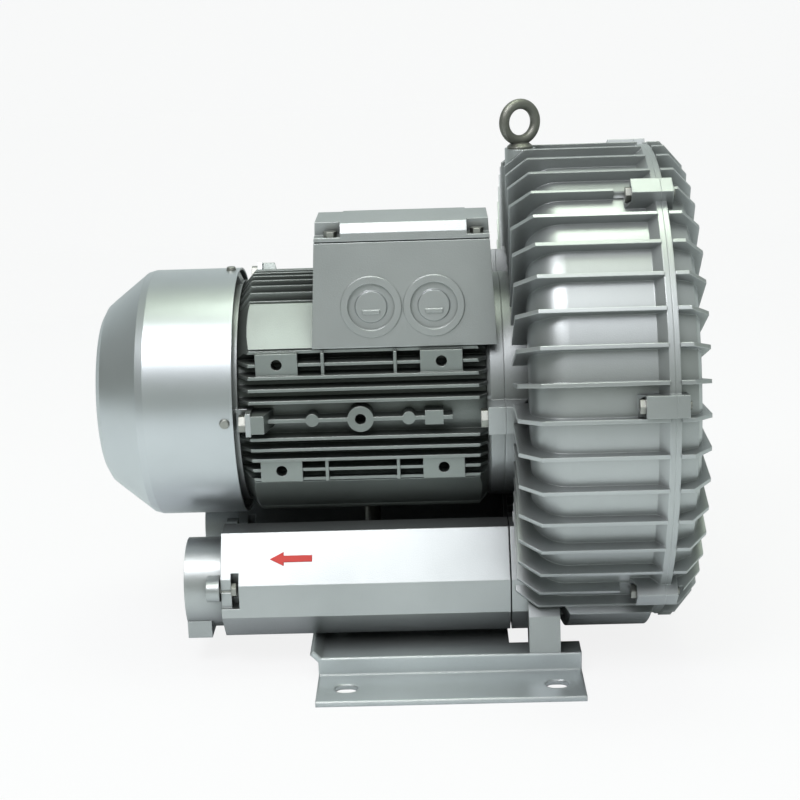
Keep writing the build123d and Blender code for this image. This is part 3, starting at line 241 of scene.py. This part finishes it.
links.new(inside.outputs["Base Roughness"], gloss.inputs[2])
links.new(gloss.outputs[0], outside.inputs["Roughness"])
links.new(grain.outputs["Fac"], outside.inputs["Height"])


grain_depth = 0.0004


def painted(name, paint, shade, edge_highlight, grain_scale, roughness, metal, bump):
    """Make paint or bare metal with patches, a fine grain, a painted highlight along edges and painted shade in
    sheltered places.
    """
    made = bpy.data.materials.new(name)
    made.use_nodes = True
    links = made.node_tree.links
    shader = made.node_tree.nodes["Principled BSDF"]
    paint_and_light_node = made.node_tree.nodes.new("ShaderNodeGroup")
    paint_and_light_node.node_tree = paint_grain_and_painted_light
    paint_and_light_node.inputs["Paint"].default_value = (*paint, 1)
    paint_and_light_node.inputs["Shade"].default_value = (*shade, 1)
    paint_and_light_node.inputs["Edge"].default_value = (*edge_highlight, 1)
    paint_and_light_node.inputs["Grain Scale"].default_value = grain_scale
    paint_and_light_node.inputs["Base Roughness"].default_value = roughness
    shader.inputs["Metallic"].default_value = metal
    bumps = made.node_tree.nodes.new("ShaderNodeBump")
    bumps.inputs["Strength"].default_value = bump
    bumps.inputs["Distance"].default_value = grain_depth
    links.new(paint_and_light_node.outputs["Color"], shader.inputs["Base Color"])
    links.new(paint_and_light_node.outputs["Roughness"], shader.inputs["Roughness"])
    links.new(paint_and_light_node.outputs["Height"], bumps.inputs["Height"])
    links.new(paint_and_light_node.outputs["Normal"], bumps.inputs["Normal"])
    links.new(bumps.outputs["Normal"], shader.inputs["Normal"])
    return made


def dress(material, *names):
    """Give CAD nodes a material."""
    for name in names:
        for slot in nodes[name].material_slots:
            slot.material = material


casting_paint = painted("casting_paint", (0.57, 0.59, 0.60), (0.49, 0.51, 0.52), (0.80, 0.83, 0.84),
                        1100.0, 0.28, 0.82, 0.25)
dress(casting_paint, "blower_housing", "blower_cover", "drive_end_shield", "fan_end_shield",
      "silencer_front", "silencer_rear", "port_flange_front", "port_flange_rear")
motor_paint = painted("motor_paint", (0.34, 0.37, 0.36), (0.25, 0.27, 0.26), (0.70, 0.73, 0.73),
                      1100.0, 0.30, 0.75, 0.35)
dress(motor_paint, "motor_frame")
box_paint = painted("box_paint", (0.57, 0.59, 0.60), (0.49, 0.51, 0.52), (0.80, 0.83, 0.84),
                    900.0, 0.30, 0.82, 0.35)
dress(box_paint, "terminal_box", "terminal_lid")

# Sheet metal
# The fan cowl is deep-drawn steel sheet, sprayed in the silver grey of the castings, but its colour here is set
# paler and bluer as a painted sheen.
# The base is thicker sheet, folded with rounded bends and coloured a little paler still, and its bends carry a
# painted highlight.
sheet_paint = painted("sheet_paint", (0.68, 0.71, 0.74), (0.60, 0.63, 0.66), (0.80, 0.83, 0.82),
                      1500.0, 0.24, 0.84, 0.12)
dress(sheet_paint, "fan_cowl")
base_paint = painted("base_paint", (0.78, 0.82, 0.84), (0.68, 0.72, 0.74), (0.92, 0.94, 0.95),
                     1500.0, 0.26, 0.80, 0.12)
# This radius rounds the bends in the shading and also sets how wide the painted highlight along them is.
bend_radius = 0.003
base_paint.node_tree.nodes["Group"].inputs["Edge Radius"].default_value = bend_radius
dress(base_paint, "base_plate")

# Bare metal pieces
# Zinc-plated screws, ground shaft and bearing rings, plain silencer tubes, and a bare impeller casting.
# The eye bolt and the post are dark forged steel, the iron is stacked, the terminals brass and the coils copper.
plated_steel = painted("plated_steel", (0.46, 0.46, 0.43), (0.34, 0.34, 0.32), (0.64, 0.63, 0.60),
                       1800.0, 0.28, 0.95, 0.15)
dress(plated_steel, "joint_screws", "flange_screws", "shield_screws", "cowl_screws", "box_screws",
      "lid_screws", "port_screws", "base_screws", "impeller_screw", "impeller_washer", "impeller_key",
      "fan_circlip", "wave_spring")
ground_steel = painted("ground_steel", (0.62, 0.62, 0.61), (0.52, 0.52, 0.51), (0.75, 0.75, 0.74),
                       2500.0, 0.16, 1.0, 0.05)
dress(ground_steel, "shaft", "drive_bearing_outer_ring", "drive_bearing_inner_ring",
      "drive_bearing_balls", "fan_bearing_outer_ring", "fan_bearing_inner_ring", "fan_bearing_balls",
      "silencer_tube_front", "silencer_tube_rear")
forged_steel = painted("forged_steel", (0.30, 0.30, 0.27), (0.19, 0.19, 0.17), (0.52, 0.51, 0.48),
                       1300.0, 0.34, 0.85, 0.5)
dress(forged_steel, "eye_bolt", "support_post")
bare_casting = painted("bare_casting", (0.66, 0.66, 0.67), (0.56, 0.56, 0.57), (0.80, 0.80, 0.80),
                       1200.0, 0.30, 0.9, 0.3)
dress(bare_casting, "impeller")
lamination = painted("lamination", (0.24, 0.24, 0.25), (0.16, 0.16, 0.17), (0.40, 0.40, 0.40),
                     2200.0, 0.42, 0.8, 0.4)
dress(lamination, "rotor_core", "stator_core")
brass = painted("brass", (0.72, 0.53, 0.22), (0.60, 0.42, 0.16), (0.85, 0.68, 0.36), 2000.0, 0.20, 1.0, 0.1)
dress(brass, "terminal_studs", "terminal_links", "terminal_nuts")
copper = painted("copper", (0.55, 0.24, 0.11), (0.40, 0.16, 0.07), (0.70, 0.36, 0.20), 1400.0, 0.30, 0.7, 0.6)
dress(copper, "winding_head_fan_side", "winding_head_drive_side")

# Plastic, rubber and foam pieces
# The cooling fan, the terminal board and the pale bearing cages are moulded.
# The shaft seal and the gaskets are black rubber, and each silencer holds a sleeve of open-cell foam.
moulding = painted("moulding", (0.025, 0.025, 0.028), (0.018, 0.018, 0.02), (0.06, 0.06, 0.06),
                   1600.0, 0.40, 0.0, 0.15)
dress(moulding, "cooling_fan", "terminal_board")
cage_plastic = painted("cage_plastic", (0.62, 0.56, 0.42), (0.55, 0.50, 0.38), (0.70, 0.66, 0.52),
                       1600.0, 0.40, 0.0, 0.1)
dress(cage_plastic, "drive_bearing_cage", "fan_bearing_cage")
gasket_rubber = painted("gasket_rubber", (0.02, 0.02, 0.02), (0.03, 0.03, 0.03), (0.05, 0.05, 0.05),
                        1800.0, 0.60, 0.0, 0.3)
dress(gasket_rubber, "shaft_seal", "box_gasket", "lid_gasket", "port_gasket_front", "port_gasket_rear",
      "casing_gasket_front", "casing_gasket_rear")
foam = painted("foam", (0.05, 0.05, 0.055), (0.03, 0.03, 0.033), (0.09, 0.09, 0.09), 420.0, 0.80, 0.0, 1.0)
dress(foam, "silencer_foam_front", "silencer_foam_rear")

# Flow arrow
# Red arrow cut from thin adhesive film, which shows which way the air leaves.
# It is stuck on the upper front facet of the front silencer and points to the port.
facet_top = Vector((0, -0.088, 0.108))
facet_foot = Vector((0, -0.112, 0.073))
down_facet = (facet_foot - facet_top).normalized()
facet_normal = Vector((0, down_facet.z, -down_facet.y))
arrow_x = -0.1215
arrow_down_facet = 0.0215
film_thickness = 0.0004
film_sink = 0.0001
tip, neck, tail = -0.0165, -0.0055, 0.0165
half_head, half_stem = 0.0056, 0.0026
arrow_middle = facet_top + down_facet * arrow_down_facet
outline = ((tip, 0), (neck, -half_head), (neck, -half_stem), (tail, -half_stem),
           (tail, half_stem), (neck, half_stem), (neck, half_head))
film = bmesh.new()
corners = [film.verts.new(arrow_middle + Vector((x + arrow_x, 0, 0)) + down_facet * across
                          - facet_normal * film_sink) for x, across in outline]
sheet = film.faces.new(corners)
lifted = bmesh.ops.extrude_face_region(film, geom=[sheet])
bmesh.ops.translate(film, verts=[v for v in lifted["geom"] if isinstance(v, bmesh.types.BMVert)],
                    vec=facet_normal * film_thickness)
bmesh.ops.recalc_face_normals(film, faces=film.faces)
arrow_data = bpy.data.meshes.new("flow_arrow")
film.to_mesh(arrow_data)
film.free()
flow_arrow = bpy.data.objects.new("flow_arrow", arrow_data)
scene.collection.objects.link(flow_arrow)
red_film = painted("red_film", (0.80, 0.03, 0.02), (0.70, 0.03, 0.02), (0.86, 0.10, 0.08),
                   900.0, 0.35, 0.0, 0.1)
arrow_data.materials.append(red_film)
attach(flow_arrow, "machine")
